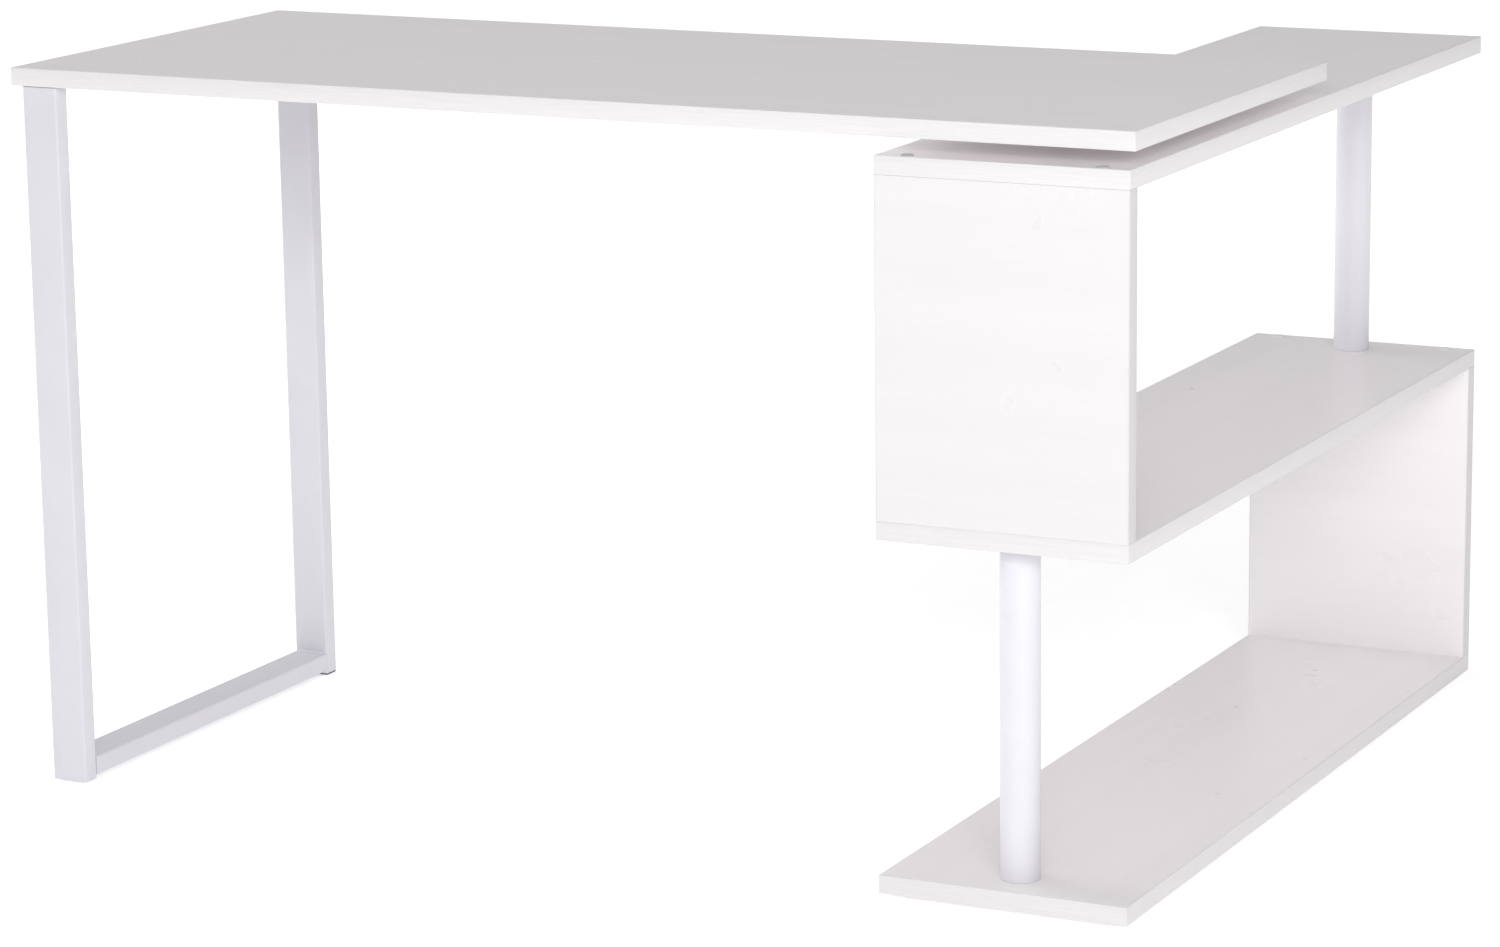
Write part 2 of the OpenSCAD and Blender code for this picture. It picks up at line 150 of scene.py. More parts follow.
def select_only(first, *others):
    """Only these pieces selected, the first of them active."""
    deselect()
    for piece in (first, *others):
        piece.select_set(True)
    bpy.context.view_layer.objects.active = first


def work_on(piece):
    """Only this piece selected and active, in edit mode with nothing picked."""
    select_only(piece)
    bpy.ops.object.mode_set(mode="EDIT")
    bpy.ops.mesh.select_all(action="DESELECT")


def pick(piece, kind, wanted):
    """Selects the faces, edges or verts of the piece in edit mode for which wanted() holds."""
    bpy.ops.mesh.select_mode(type={"faces": "FACE", "edges": "EDGE", "verts": "VERT"}[kind])
    bpy.ops.mesh.select_all(action="DESELECT")
    bm = bmesh.from_edit_mesh(piece.data)
    for part in getattr(bm, kind):
        if wanted(part):
            part.select_set(True)
    bm.select_flush_mode()
    bmesh.update_edit_mesh(piece.data)


def middle(edge):
    """The midpoint of an edge."""
    return (edge.verts[0].co + edge.verts[1].co) / 2


def runs_along(edge, axis):
    """True if the edge lies along that axis (0, 1 or 2)."""
    way = edge.verts[1].co - edge.verts[0].co
    return abs(way[axis]) > 0.99 * way.length


def near(a, b):
    """True if two lengths are the same to a hundredth of a millimetre."""
    return abs(a - b) < 0.01 * MM


def apply_modifiers(piece):
    """Applies every modifier, in order."""
    select_only(piece)
    for modifier in list(piece.modifiers):
        bpy.ops.object.modifier_apply(modifier=modifier.name)


def settle(piece):
    """Puts the piece's place, turn and size into its mesh, so that its object sits at the origin."""
    select_only(piece)
    bpy.ops.object.transform_apply(location=True, rotation=True, scale=True)


def own_copy(piece):
    """A copy of the piece with its own mesh."""
    twin = piece.copy()
    twin.data = piece.data.copy()
    bpy.context.scene.collection.objects.link(twin)
    return twin


def join(first, *others):
    """Makes the pieces one, which keeps the name of the first."""
    select_only(first, *others)
    bpy.ops.object.join()


def finish_shape(piece):
    """Closes seams, turns every face outwards and smooths the shallow edges."""
    work_on(piece)
    bpy.ops.mesh.select_all(action="SELECT")
    bpy.ops.mesh.remove_doubles(threshold=SAME_POINT)
    bpy.ops.mesh.normals_make_consistent(inside=False)
    bpy.ops.object.mode_set(mode="OBJECT")
    bpy.ops.object.shade_smooth_by_angle(angle=SMOOTH_ANGLE)
    return piece


def block(name, low, high):
    """A box between two corners, its place already in its mesh."""
    deselect()
    bpy.ops.mesh.primitive_cube_add(size=1, location=(Vector(low) + Vector(high)) / 2)
    piece = bpy.context.object
    piece.name = name
    piece.scale = Vector(high) - Vector(low)
    settle(piece)
    return piece


def turned_ring(name, centre, inner, outer, low, high, ease):
    """A ring turned round an upright axis: a section with eased corners, spun once round."""
    # One face of a thin slab is kept as the section and moved onto the axis
    half = 1 * MM
    section = block(name, (inner, -half, low), (outer, half, high))
    work_on(section)
    pick(section, "faces", lambda f: f.normal.y > -0.5)
    bpy.ops.mesh.delete(type="FACE")
    pick(section, "edges", lambda e: e.is_boundary)
    bpy.ops.mesh.select_mode(type="VERT")
    bpy.ops.mesh.bevel(offset=ease, segments=3, affect="VERTICES")
    bpy.ops.mesh.select_all(action="SELECT")
    bpy.ops.mesh.delete(type="ONLY_FACE")
    bpy.ops.mesh.select_all(action="SELECT")
    bpy.ops.transform.translate(value=(0, half, 0))
    bpy.ops.mesh.spin(steps=ROUND_SIDES, angle=2 * math.pi, center=(0, 0, 0), axis=(0, 0, 1))
    bpy.ops.mesh.select_all(action="SELECT")
    bpy.ops.transform.translate(value=(centre[0], centre[1], 0))
    return finish_shape(section)


def copies_at(piece, places):
    """The piece repeated at every place, the first of which is its own; all made one piece."""
    twins = []
    for place in places[1:]:
        twin = own_copy(piece)
        twin.location = Vector(place) - Vector(places[0])
        settle(twin)
        twins.append(twin)
    join(piece, *twins)
    return piece


def give(piece, material, body, slot, *nodes):
    """The piece's finish, the body it rides on and the CAD nodes it stands for."""
    piece.data.materials.clear()
    piece.data.materials.append(material)
    if nodes:
        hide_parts(*nodes)
    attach(piece, body)
    return piece


# ---------------------------------------------------------------- materials

def colour(code):
    """An sRGB hex value as linear colour."""
    parts = [int(code[i:i + 2], 16) / 255 for i in (1, 3, 5)]
    linear = [c / 12.92 if c <= 0.04045 else ((c + 0.055) / 1.055) ** 2.4 for c in parts]
    return (*linear, 1.0)


def add(tree, kind, settings=None, links=None):
    """Adds a node, sets its properties, sockets and ramp stops, and links its sockets."""
    made = tree.nodes.new("ShaderNode" + kind)
    for key, value in (settings or {}).items():
        if key == "stops":
            for stop, (place, code) in zip(made.color_ramp.elements, value):
                stop.position = place
                stop.color = colour(code)
        elif isinstance(key, str) and hasattr(made, key):
            setattr(made, key, value)
        else:
            made.inputs[key].default_value = value
    for key, source in (links or {}).items():
        socket = source if isinstance(source, bpy.types.NodeSocket) else source.outputs[0]
        tree.links.new(socket, made.inputs[key])
    return made


def new_material(name):
    """A material with a bare surface shader, and the place on the object its patterns read."""
    material = bpy.data.materials.new(name)
    material.use_nodes = True
    tree = material.node_tree
    tree.nodes.clear()
    where = add(tree, "TexCoord").outputs["Object"]
    return material, tree, where


def white_melamine(name, grain_size, dark, light):
    """Melamine-faced chipboard, hot-pressed against a textured plate: a satin white printed
    with a very faint ash grain along the board, under the fine pearl of the press plate."""
    material, tree, where = new_material(name)
    fine = add(tree, "Mapping", {"Scale": [1 / size for size in grain_size]}, {"Vector": where})
    grain = add(tree, "TexNoise", {"Scale": 1, "Detail": 4, "Roughness": 0.6}, {"Vector": fine})
    printed = add(tree, "ValToRGB", {"stops": [(0.3, dark), (0.7, light)]}, {"Fac": grain})
    # Flames of the print, seventeen times the size of its lines
    broad = add(tree, "Mapping", {"Scale": (0.06, 0.06, 0.06)}, {"Vector": fine})
    flames = add(tree, "TexNoise", {"Scale": 1, "Detail": 2}, {"Vector": broad})
    shade = add(tree, "ValToRGB", {"stops": [(0.35, "#FDFDFD"), (0.65, "#FFFFFF")]}, {"Fac": flames})
    tone = add(tree, "VectorMath", {"operation": "MULTIPLY"}, {0: printed, 1: shade})
    # Wiped patches a hand's breadth wide change the gloss a little
    wiped = add(tree, "TexNoise", {"Scale": 1 / 0.09, "Detail": 3}, {"Vector": where})
    gloss = add(tree, "MapRange", {"To Min": 0.24, "To Max": 0.35}, {"Value": wiped})
    # Pores follow the print, 0.02 mm deep; the plate's pearl is 0.9 mm across, drawn
    # coarser than the real 0.4 mm so that it shows
    pores = add(tree, "Bump", {"Distance": 0.02 * MM, "Strength": 0.5}, {"Height": grain})
    pearl = add(tree, "TexNoise", {"Scale": 1 / 0.0009, "Detail": 2}, {"Vector": where})
    relief = add(tree, "Bump", {"Distance": 0.03 * MM, "Strength": 0.35},
                 {"Height": pearl, "Normal": pores})
    shader = add(tree, "BsdfPrincipled", {"IOR": 1.52},
                 {"Base Color": tone, "Roughness": gloss, "Normal": relief})
    add(tree, "OutputMaterial", links={"Surface": shader})
    return material


def edge_band_plastic(name, streak_size, dark, light):
    """ABS edge banding, extruded and printed: a smoother white than the board, with fine streaks along
    the strip; its white is set darker than the board's, painted shade on the brightly lit edges."""
    material, tree, where = new_material(name)
    along = add(tree, "Mapping", {"Scale": [1 / size for size in streak_size]}, {"Vector": where})
    streaks = add(tree, "TexNoise", {"Scale": 1, "Detail": 4, "Roughness": 0.65}, {"Vector": along})
    printed = add(tree, "ValToRGB", {"stops": [(0.25, dark), (0.75, light)]}, {"Fac": streaks})
    gloss = add(tree, "MapRange", {"To Min": 0.30, "To Max": 0.46}, {"Value": streaks})
    ripple = add(tree, "Bump", {"Distance": 0.03 * MM, "Strength": 0.6}, {"Height": streaks})
    # Chatter of the trimming knife, 4 mm apart
    chatter = add(tree, "TexNoise", {"Scale": 1 / 0.004, "Detail": 1}, {"Vector": where})
    relief = add(tree, "Bump", {"Distance": 0.02 * MM, "Strength": 0.3},
                 {"Height": chatter, "Normal": ripple})
    shader = add(tree, "BsdfPrincipled", {"IOR": 1.53},
                 {"Base Color": printed, "Roughness": gloss, "Normal": relief})
    add(tree, "OutputMaterial", links={"Surface": shader})
    return material


def powder_coat(name, dark, light):
    """Polyester powder coat on steel tube: a cool semi-gloss white whose melted grains leave
    a soft orange peel, with the odd speck of dust baked in."""
    material, tree, where = new_material(name)
    # Film thickness drifts over some 60 mm
    film = add(tree, "TexNoise", {"Scale": 1 / 0.06, "Detail": 2}, {"Vector": where})
    paint = add(tree, "ValToRGB", {"stops": [(0.3, dark), (0.7, light)]}, {"Fac": film})
    gloss = add(tree, "MapRange", {"To Min": 0.38, "To Max": 0.46}, {"Value": film})
    # Orange peel about 1.8 mm across and 0.03 mm deep
    peel = add(tree, "TexNoise", {"Scale": 1 / 0.0018, "Detail": 2}, {"Vector": where})
    soft = add(tree, "Bump", {"Distance": 0.03 * MM, "Strength": 0.4}, {"Height": peel})
    specks = add(tree, "TexNoise", {"Scale": 1 / 0.0011, "Detail": 0}, {"Vector": where})
    raised = add(tree, "MapRange", {"From Min": 0.76, "From Max": 0.86}, {"Value": specks})
    relief = add(tree, "Bump", {"Distance": 0.05 * MM, "Strength": 0.6},
                 {"Height": raised, "Normal": soft})
    shader = add(tree, "BsdfPrincipled", {"IOR": 1.5, "Coat Weight": 0.1, "Coat Roughness": 0.25},
                 {"Base Color": paint, "Roughness": gloss, "Normal": relief})
    add(tree, "OutputMaterial", links={"Surface": shader})
    return material


def zinc_plate():
    """Bright zinc on cold-rolled steel, passivated: a silvery metal with a faint bluish and
    straw bloom over rolled streaks."""
    material, tree, where = new_material("zinc_plated_steel")
    bloom = add(tree, "TexNoise", {"Scale": 1 / 0.012, "Detail": 2, "Roughness": 0.6}, {"Vector": where})
    tint = add(tree, "ValToRGB", {"stops": [(0.3, "#B9BEC4"), (0.7, "#D3D1C8")]}, {"Fac": bloom})
    # Rolled streaks 0.6 mm apart and 20 mm long
    along = add(tree, "Mapping", {"Scale": (1 / 0.02, 1 / 0.0006, 1 / 0.0006)}, {"Vector": where})
    rolled = add(tree, "TexNoise", {"Scale": 1, "Detail": 3, "Roughness": 0.6}, {"Vector": along})
    gloss = add(tree, "MapRange", {"To Min": 0.22, "To Max": 0.42}, {"Value": rolled})
    relief = add(tree, "Bump", {"Distance": 0.01 * MM, "Strength": 0.5}, {"Height": rolled})
    shader = add(tree, "BsdfPrincipled", {"Metallic": 1.0},
                 {"Base Color": tint, "Roughness": gloss, "Normal": relief})
    add(tree, "OutputMaterial", links={"Surface": shader})
    return material


def black_rubber():
    """Moulded rubber: near black and dull, with a fine moulded grain and dusty high spots."""
    material, tree, where = new_material("moulded_black_rubber")
    grain = add(tree, "TexNoise", {"Scale": 1 / 0.0012, "Detail": 3, "Roughness": 0.6},
                {"Vector": where})
    dust = add(tree, "ValToRGB", {"stops": [(0.4, "#101012"), (0.75, "#26262A")]}, {"Fac": grain})
    dull = add(tree, "MapRange", {"To Min": 0.7, "To Max": 0.9}, {"Value": grain})
    relief = add(tree, "Bump", {"Distance": 0.05 * MM, "Strength": 0.7}, {"Height": grain})
    shader = add(tree, "BsdfPrincipled", {"IOR": 1.52},
                 {"Base Color": dust, "Roughness": dull, "Normal": relief})
    add(tree, "OutputMaterial", links={"Surface": shader})
    return material


def natural_nylon():
    """Injection-moulded natural nylon: creamy, waxy and slightly translucent, with flow marks."""
    material, tree, where = new_material("natural_nylon")
    drawn = add(tree, "Mapping", {"Scale": (1 / 0.008, 1 / 0.008, 1 / 0.03)}, {"Vector": where})
    flow = add(tree, "TexNoise", {"Scale": 1, "Detail": 2}, {"Vector": drawn})
    cream = add(tree, "ValToRGB", {"stops": [(0.3, "#DDD6C6"), (0.7, "#EAE5D8")]}, {"Fac": flow})
    gloss = add(tree, "MapRange", {"To Min": 0.35, "To Max": 0.5}, {"Value": flow})
    relief = add(tree, "Bump", {"Distance": 0.02 * MM, "Strength": 0.5}, {"Height": flow})
    shader = add(tree, "BsdfPrincipled",
                 {"IOR": 1.53, "Subsurface Weight": 0.15, "Subsurface Scale": 1.0,
                  "Subsurface Radius": (1.2 * MM, 1.0 * MM, 0.8 * MM)},
                 {"Base Color": cream, "Roughness": gloss, "Normal": relief})
    add(tree, "OutputMaterial", links={"Surface": shader})
    return material


def moulded_plastic(name, dark, light):
    """Moulded polypropylene: a soft sheen over the light grain of a spark-eroded mould."""
    material, tree, where = new_material(name)
    grain = add(tree, "TexNoise", {"Scale": 1 / 0.0008, "Detail": 2, "Roughness": 0.6},
                {"Vector": where})
    tint = add(tree, "ValToRGB", {"stops": [(0.3, dark), (0.7, light)]}, {"Fac": grain})
    gloss = add(tree, "MapRange", {"To Min": 0.45, "To Max": 0.6}, {"Value": grain})
    relief = add(tree, "Bump", {"Distance": 0.03 * MM, "Strength": 0.5}, {"Height": grain})
    shader = add(tree, "BsdfPrincipled", {"IOR": 1.49},
                 {"Base Color": tint, "Roughness": gloss, "Normal": relief})
    add(tree, "OutputMaterial", links={"Surface": shader})
    return material


def turned_beech():
    """Turned beech dowel: pale pinkish brown with short darker flecks along the grain."""
    material, tree, where = new_material("turned_beech")
    # Flecks 0.8 mm wide and 6 mm long
    along = add(tree, "Mapping", {"Scale": (1 / 0.0008, 1 / 0.0008, 1 / 0.006)}, {"Vector": where})
    flecks = add(tree, "TexNoise", {"Scale": 1, "Detail": 3, "Roughness": 0.6}, {"Vector": along})
    wood = add(tree, "ValToRGB", {"stops": [(0.3, "#A9825C"), (0.7, "#D8B48A")]}, {"Fac": flecks})
    gloss = add(tree, "MapRange", {"To Min": 0.5, "To Max": 0.7}, {"Value": flecks})
    relief = add(tree, "Bump", {"Distance": 0.05 * MM, "Strength": 0.6}, {"Height": flecks})
    shader = add(tree, "BsdfPrincipled", {"IOR": 1.5},
                 {"Base Color": wood, "Roughness": gloss, "Normal": relief})
    add(tree, "OutputMaterial", links={"Surface": shader})
    return material


def studio_paper():
    """Seamless white studio paper, lit from behind, and more so away from the desk's middle,
    so that it stays white."""
    material, tree, where = new_material("seamless_paper")
    fibres = add(tree, "TexNoise", {"Scale": 1 / 0.05, "Detail": 2}, {"Vector": where})
    sheet = add(tree, "ValToRGB", {"stops": [(0.3, "#F4F4F4"), (0.7, "#F8F8F8")]}, {"Fac": fibres})
    away = add(tree, "VectorMath", {"operation": "LENGTH"}, {0: where})
    glow = add(tree, "MapRange",
               {"From Min": NEAR, "From Max": FAR, "To Min": NEAR_GLOW, "To Max": FAR_GLOW},
               {"Value": away.outputs["Value"]})
    shader = add(tree, "BsdfPrincipled", {"Roughness": 0.9, "Emission Color": (1, 1, 1, 1)},
                 {"Base Color": sheet, "Emission Strength": glow})
    add(tree, "OutputMaterial", links={"Surface": shader})
    return material


# Lines of the printed grain: 2.5 mm apart and 150 mm long
LINE, LINE_LONG = 2.5 * MM, 150 * MM
desktop_melamine = white_melamine("melamine_desktop", (LINE_LONG, LINE, LINE), "#E9E4E6", "#EDE8EA")
shelf_melamine = white_melamine("melamine_shelves", (LINE, LINE_LONG, LINE), "#E8E4E5", "#EBE7E8")
# The front panel's white is set darker than the other boards': painted shade against the strong front
# light on it
front_panel_shaded_melamine = white_melamine("melamine_front_panel_painted_shade", (LINE_LONG, LINE, LINE), "#D8D6D7", "#DAD8D9")
rear_melamine = white_melamine("melamine_rear_panel", (LINE_LONG, LINE, LINE), "#E9E6E7", "#EBE8E9")
# Streaks of the banding: 0.7 mm apart across the strip and 60 mm long
STREAK, STREAK_LONG = 0.7 * MM, 60 * MM
# Both banding whites are set darker than the boards': painted shade against the strong light on the
# edges
band_round = edge_band_plastic("edge_band_round_board", (STREAK_LONG, STREAK_LONG, STREAK),
                               "#D2CFD0", "#DDDBDB")
band_upright = edge_band_plastic("edge_band_up_panel", (STREAK, STREAK, STREAK_LONG),
                                 "#C7C4C5", "#D2CFD0")
# One powder coat in two tones: the legs' is set darker, painted shade against the front light on them,
# and the posts' lighter, painted light inside the shelf
leg_paint = powder_coat("powder_coat_legs", "#CECDD3", "#D1D0D6")
post_paint = powder_coat("powder_coat_posts", "#D9D8DE", "#DCDBE1")
zinc = zinc_plate()
rubber = black_rubber()
nylon = natural_nylon()
grey = moulded_plastic("grey_polypropylene", "#7C7C7E", "#8B8B8C")
white_caps = moulded_plastic("white_polypropylene", "#DDD9DA", "#E4E0E1")
# The caps on the top board's front are painted grey: painted shade for the dark arcs round their rims
shade_grey_caps = moulded_plastic("cap_polypropylene_painted_shade", "#AFADAE", "#B9B7B8")
dowel_wood = turned_beech()


# ---------------------------------------------------------------- boards and their banding

FINISH_OF = {"desktop": desktop_melamine, "front_panel": front_panel_shaded_melamine,
             "rear_panel": rear_melamine, "bottom_board": shelf_melamine,
             "middle_board": shelf_melamine, "top_board": shelf_melamine,
             "post_sockets": grey, "post_socket_screws": zinc, "panel_screws": zinc,
             "panel_dowels": dowel_wood, "glide_screws": zinc, "swivel_base_plate": zinc,
             "base_plate_screws": zinc, "pivot_bush": nylon, "swivel_top_plate": zinc,
             "top_plate_screws": zinc, "pivot_pin": zinc, "top_bar": leg_paint,
             "top_bar_screws": zinc}
for name, material in FINISH_OF.items():
    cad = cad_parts[name]
    cad.data.materials.clear()
    cad.data.materials.append(material)


def band_round_board(name, cad_node, body):
    """Banding round a board: a block whose core is taken out, its outer edges rounded."""
    low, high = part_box(cad_node)
    band = block(name, low, high)
    work_on(band)
    pick(band, "faces", lambda f: abs(f.normal.z) > 0.9)
    bpy.ops.mesh.inset(thickness=BAND_T, depth=0)
    bpy.ops.mesh.bridge_edge_loops()

    def outer(v):
        return ((near(v.co.x, low.x) or near(v.co.x, high.x))
                and (near(v.co.y, low.y) or near(v.co.y, high.y)))

    pick(band, "edges", lambda e: outer(e.verts[0]) and outer(e.verts[1]))
    bpy.ops.mesh.bevel(offset=BAND_EASE, segments=3)

    almost = 0.99 * BAND_T

    def inner(v):
        return (low.x + almost < v.co.x < high.x - almost
                and low.y + almost < v.co.y < high.y - almost)

    pick(band, "edges", lambda e: inner(e.verts[0]) and inner(e.verts[1])
         and not runs_along(e, ALONG_Z))
    bpy.ops.mesh.bevel(offset=SEAM, segments=1)
    finish_shape(band)
    return give(band, band_round, body, "edge_band", cad_node)


def band_up_panel(name, cad_node, body):
    """The two upright strips of a panel, each rounded on its outer edges."""
    low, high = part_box(cad_node)
    strip = block(name, low, (low.x + BAND_T, high.y, high.z))
    work_on(strip)
    pick(strip, "edges", lambda e: runs_along(e, ALONG_Z) and near(middle(e).x, low.x))
    bpy.ops.mesh.bevel(offset=BAND_EASE, segments=3)
    finish_shape(strip)
    other = own_copy(strip)
    work_on(other)
    bpy.ops.mesh.select_all(action="SELECT")
    bpy.ops.transform.resize(value=(-1, 1, 1), center_override=(low + high) / 2)
    join(strip, other)
    finish_shape(strip)
    return give(strip, band_upright, body, "edge_band", cad_node)


for board in ("bottom_board", "middle_board", "top_board"):
    band_round_board(board + "_edge_band", board + "_banding", SHELF)
band_round_board("desktop_edge_band", "desktop_banding", DESK)
for panel in ("front_panel", "rear_panel"):
    band_up_panel(panel + "_edge_bands", panel + "_banding", SHELF)


# ---------------------------------------------------------------- round posts

def round_post(name, cad_node):
    """A drawn steel tube: an open cylinder given its wall, with its cut rims deburred."""
    low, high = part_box(cad_node)
    centre = (low + high) / 2
    radius = (high.x - low.x) / 2
    deselect()
    bpy.ops.mesh.primitive_cylinder_add(vertices=ROUND_SIDES, radius=radius, depth=high.z - low.z,
                                        end_fill_type="NOTHING", location=centre)
    post = bpy.context.object
    post.name = name
    settle(post)
    wall = post.modifiers.new("wall", "SOLIDIFY")
    wall.thickness = POST_WALL
    wall.offset = -1
    apply_modifiers(post)
    work_on(post)
    pick(post, "edges", lambda e: not runs_along(e, ALONG_Z)
         and all((v.co.xy - centre.xy).length > radius - JUST_INSIDE for v in e.verts))
    bpy.ops.mesh.bevel(offset=RIM_EASE, segments=2)
    finish_shape(post)
    return give(post, post_paint, SHELF, "white_powder_coat", cad_node)


round_post("lower_round_post", "lower_post")
round_post("upper_round_post", "upper_post")


# ---------------------------------------------------------------- leg frame

def tube_blank(name, cad_node, axis):
    """A bar the size of the tube, its four long edges rounded."""
    low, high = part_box(cad_node)
    tube = block(name, low, high)
    work_on(tube)
    pick(tube, "edges", lambda e: runs_along(e, axis))
    bpy.ops.mesh.bevel(offset=TUBE_R, segments=5)
    return tube


def leg_tube(name, cad_node):
    """A leg: hollow from its open upper end down to the plate that closes its foot."""
    low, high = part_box(cad_node)
    tube = tube_blank(name, cad_node, ALONG_Z)
    pick(tube, "faces", lambda f: f.normal.z > 0.9)
    bpy.ops.mesh.inset(thickness=TUBE_WALL, depth=0)
    bpy.ops.mesh.extrude_region_move(
        TRANSFORM_OT_translate={"value": (0, 0, low.z + TUBE_WALL - high.z)})

    def on_rim(e):
        return ((near(middle(e).z, high.z) or near(middle(e).z, low.z))
                and any(abs(f.normal.z) < 0.5 for f in e.link_faces))

    pick(tube, "edges", on_rim)
    bpy.ops.mesh.bevel(offset=RIM_EASE, segments=2)
    finish_shape(tube)
    return give(tube, leg_paint, DESK, "white_powder_coat", cad_node)


def floor_rail_tube():
    """The rail: a length of the same tube, cut square and welded between the legs."""
    tube = tube_blank("floor_rail_tube", "floor_rail", ALONG_Y)
    pick(tube, "faces", lambda f: abs(f.normal.y) > 0.9)
    bpy.ops.mesh.inset(thickness=TUBE_WALL, depth=0)
    bpy.ops.mesh.bridge_edge_loops()
    finish_shape(tube)
    return give(tube, leg_paint, DESK, "white_powder_coat", "floor_rail")


leg_tube("front_leg_tube", "front_leg")
leg_tube("rear_leg_tube", "rear_leg")
floor_rail_tube()


def weld_bead(name, at, length):
    """A fillet weld laid along X in an inside corner: a rod with overlapping ripples."""
    rings = int(length / BEAD_PITCH) * 2
    deselect()
    bpy.ops.mesh.primitive_cylinder_add(vertices=BEAD_SIDES, radius=BEAD_R, depth=length,
                                        rotation=(0, math.pi / 2, 0), location=at)
    bead = bpy.context.object
    bead.name = name
    settle(bead)
    work_on(bead)
    pick(bead, "edges", lambda e: runs_along(e, ALONG_X))
    bpy.ops.mesh.subdivide(number_cuts=rings - 1)
    step = length / rings
    start = at[0] - length / 2

    def hollow(v):
        place = round((v.co.x - start) / step)
        return place % 2 == 1 or place in (0, rings)

    pick(bead, "verts", hollow)
    bpy.ops.transform.resize(value=(1, BEAD_HOLLOW, BEAD_HOLLOW), center_override=at)
    finish_shape(bead)
    return give(bead, leg_paint, DESK, "white_powder_coat")


leg_low, leg_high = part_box("front_leg")
rear_low, rear_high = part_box("rear_leg")
bar_low, bar_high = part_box("top_bar")
rail_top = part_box("floor_rail")[1].z
leg_mid_x = (leg_low.x + leg_high.x) / 2
rail_bead = leg_high.x - leg_low.x - 2 * TUBE_R
bar_bead = bar_high.x - bar_low.x
for joint, height, length in (("floor", rail_top, rail_bead), ("bar", bar_low.z, bar_bead)):
    for leg, face in (("front", leg_high.y), ("rear", rear_low.y)):
        weld_bead(f"weld_{leg}_{joint}", Vector((leg_mid_x, face, height)), length)


# ---------------------------------------------------------------- feet, caps and the swivel

def rubber_pad(name, low, high):
    """A moulded pad with rounded corners and a softened sole."""
    pad = block(name, low, high)
    work_on(pad)
    pick(pad, "edges", lambda e: runs_along(e, ALONG_Z))
    bpy.ops.mesh.bevel(offset=PAD_CORNER, segments=4)
    pick(pad, "edges", lambda e: near(e.verts[0].co.z, low.z) and near(e.verts[1].co.z, low.z))
    bpy.ops.mesh.bevel(offset=PAD_SOLE, segments=2)
    return finish_shape(pad)


def rubber_pads():
    """The pads under the leg frame: a short one at the front leg, a long one at the rear leg."""
    low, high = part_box("foot_pads")
    front_back = leg_high.y - PAD_EDGE
    front = rubber_pad("rubber_foot_pads",
                       Vector((leg_mid_x - PAD_WIDTH / 2, front_back - FRONT_PAD_LENGTH, low.z)),
                       Vector((leg_mid_x + PAD_WIDTH / 2, front_back, high.z)))
    rear_right = leg_high.x - PAD_EDGE
    rear = rubber_pad("rear_foot_pad",
                      Vector((rear_right - PAD_WIDTH, rear_low.y + PAD_EDGE, low.z)),
                      Vector((rear_right, rear_high.y - PAD_EDGE, high.z)))
    join(front, rear)
    return give(front, rubber, DESK, "black_rubber", "foot_pads")


def leg_top_plugs():
    """Moulded plugs in the open tops of the legs: a flat head on a hollow stub. Their thin grey head
    between leg and desktop is painted shade for the seam there.
    """
    low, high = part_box("leg_plugs")
    plug = block("leg_top_plugs", (leg_low.x, leg_low.y, leg_high.z),
                 (leg_high.x, leg_high.y, high.z))
    work_on(plug)
    pick(plug, "edges", lambda e: runs_along(e, ALONG_Z))
    bpy.ops.mesh.bevel(offset=TUBE_R, segments=5)
    pick(plug, "faces", lambda f: f.normal.z < -0.9)
    bpy.ops.mesh.inset(thickness=TUBE_WALL + PLUG_PLAY, depth=0)
    stub = leg_high.z - low.z
    bpy.ops.mesh.extrude_region_move(TRANSFORM_OT_translate={"value": (0, 0, -stub)})
    bpy.ops.mesh.inset(thickness=PLUG_WALL, depth=0)
    bpy.ops.mesh.extrude_region_move(TRANSFORM_OT_translate={"value": (0, 0, stub)})
    finish_shape(plug)
    copies_at(plug, [leg_low, Vector((leg_low.x, rear_low.y, leg_low.z))])
    # The plugs' grey head paints the shade of the seam where each leg meets the desktop
    return give(plug, grey, DESK, "grey_plastic", "leg_plugs")


def nylon_glides():
    """Four turned glides under the shelf unit, each with a recess for its screw."""
    low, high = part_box("floor_glides")
    xs = (low.x + GLIDE_R, high.x - GLIDE_R)
    ys = (low.y + GLIDE_R, high.y - GLIDE_R)
    glide = turned_ring("nylon_glides", (xs[0], ys[0]), GLIDE_RECESS_R, GLIDE_R, low.z, high.z,
                        GLIDE_EASE)
    copies_at(glide, [(x, y, 0) for x in xs for y in ys])
    return give(glide, nylon, SHELF, "nylon", "floor_glides")


def cover_cap(name, centre, face_z, up):
    """A press-in cap over a screw head: a soft rim round a dished middle."""
    middle_z = face_z + up * CAP_HEIGHT / 2
    deselect()
    bpy.ops.mesh.primitive_cylinder_add(vertices=CAP_SIDES, radius=CAP_R, depth=CAP_HEIGHT,
                                        location=(centre[0], centre[1], middle_z))
    cap = bpy.context.object
    cap.name = name
    settle(cap)
    work_on(cap)
    outer_z = face_z + up * CAP_HEIGHT
    pick(cap, "faces", lambda f: f.normal.z * up > 0.9)
    bpy.ops.mesh.inset(thickness=CAP_RIM, depth=0)
    bpy.ops.mesh.inset(thickness=CAP_SLOPE, depth=-CAP_DISH_DEPTH)
    bpy.ops.mesh.inset(thickness=CAP_DISH_EDGE, depth=0)
    pick(cap, "edges", lambda e: near(middle(e).z, outer_z)
         and (middle(e).xy - Vector(centre)).length > CAP_R - JUST_INSIDE)
    bpy.ops.mesh.bevel(offset=CAP_EASE, segments=3)
    return finish_shape(cap)


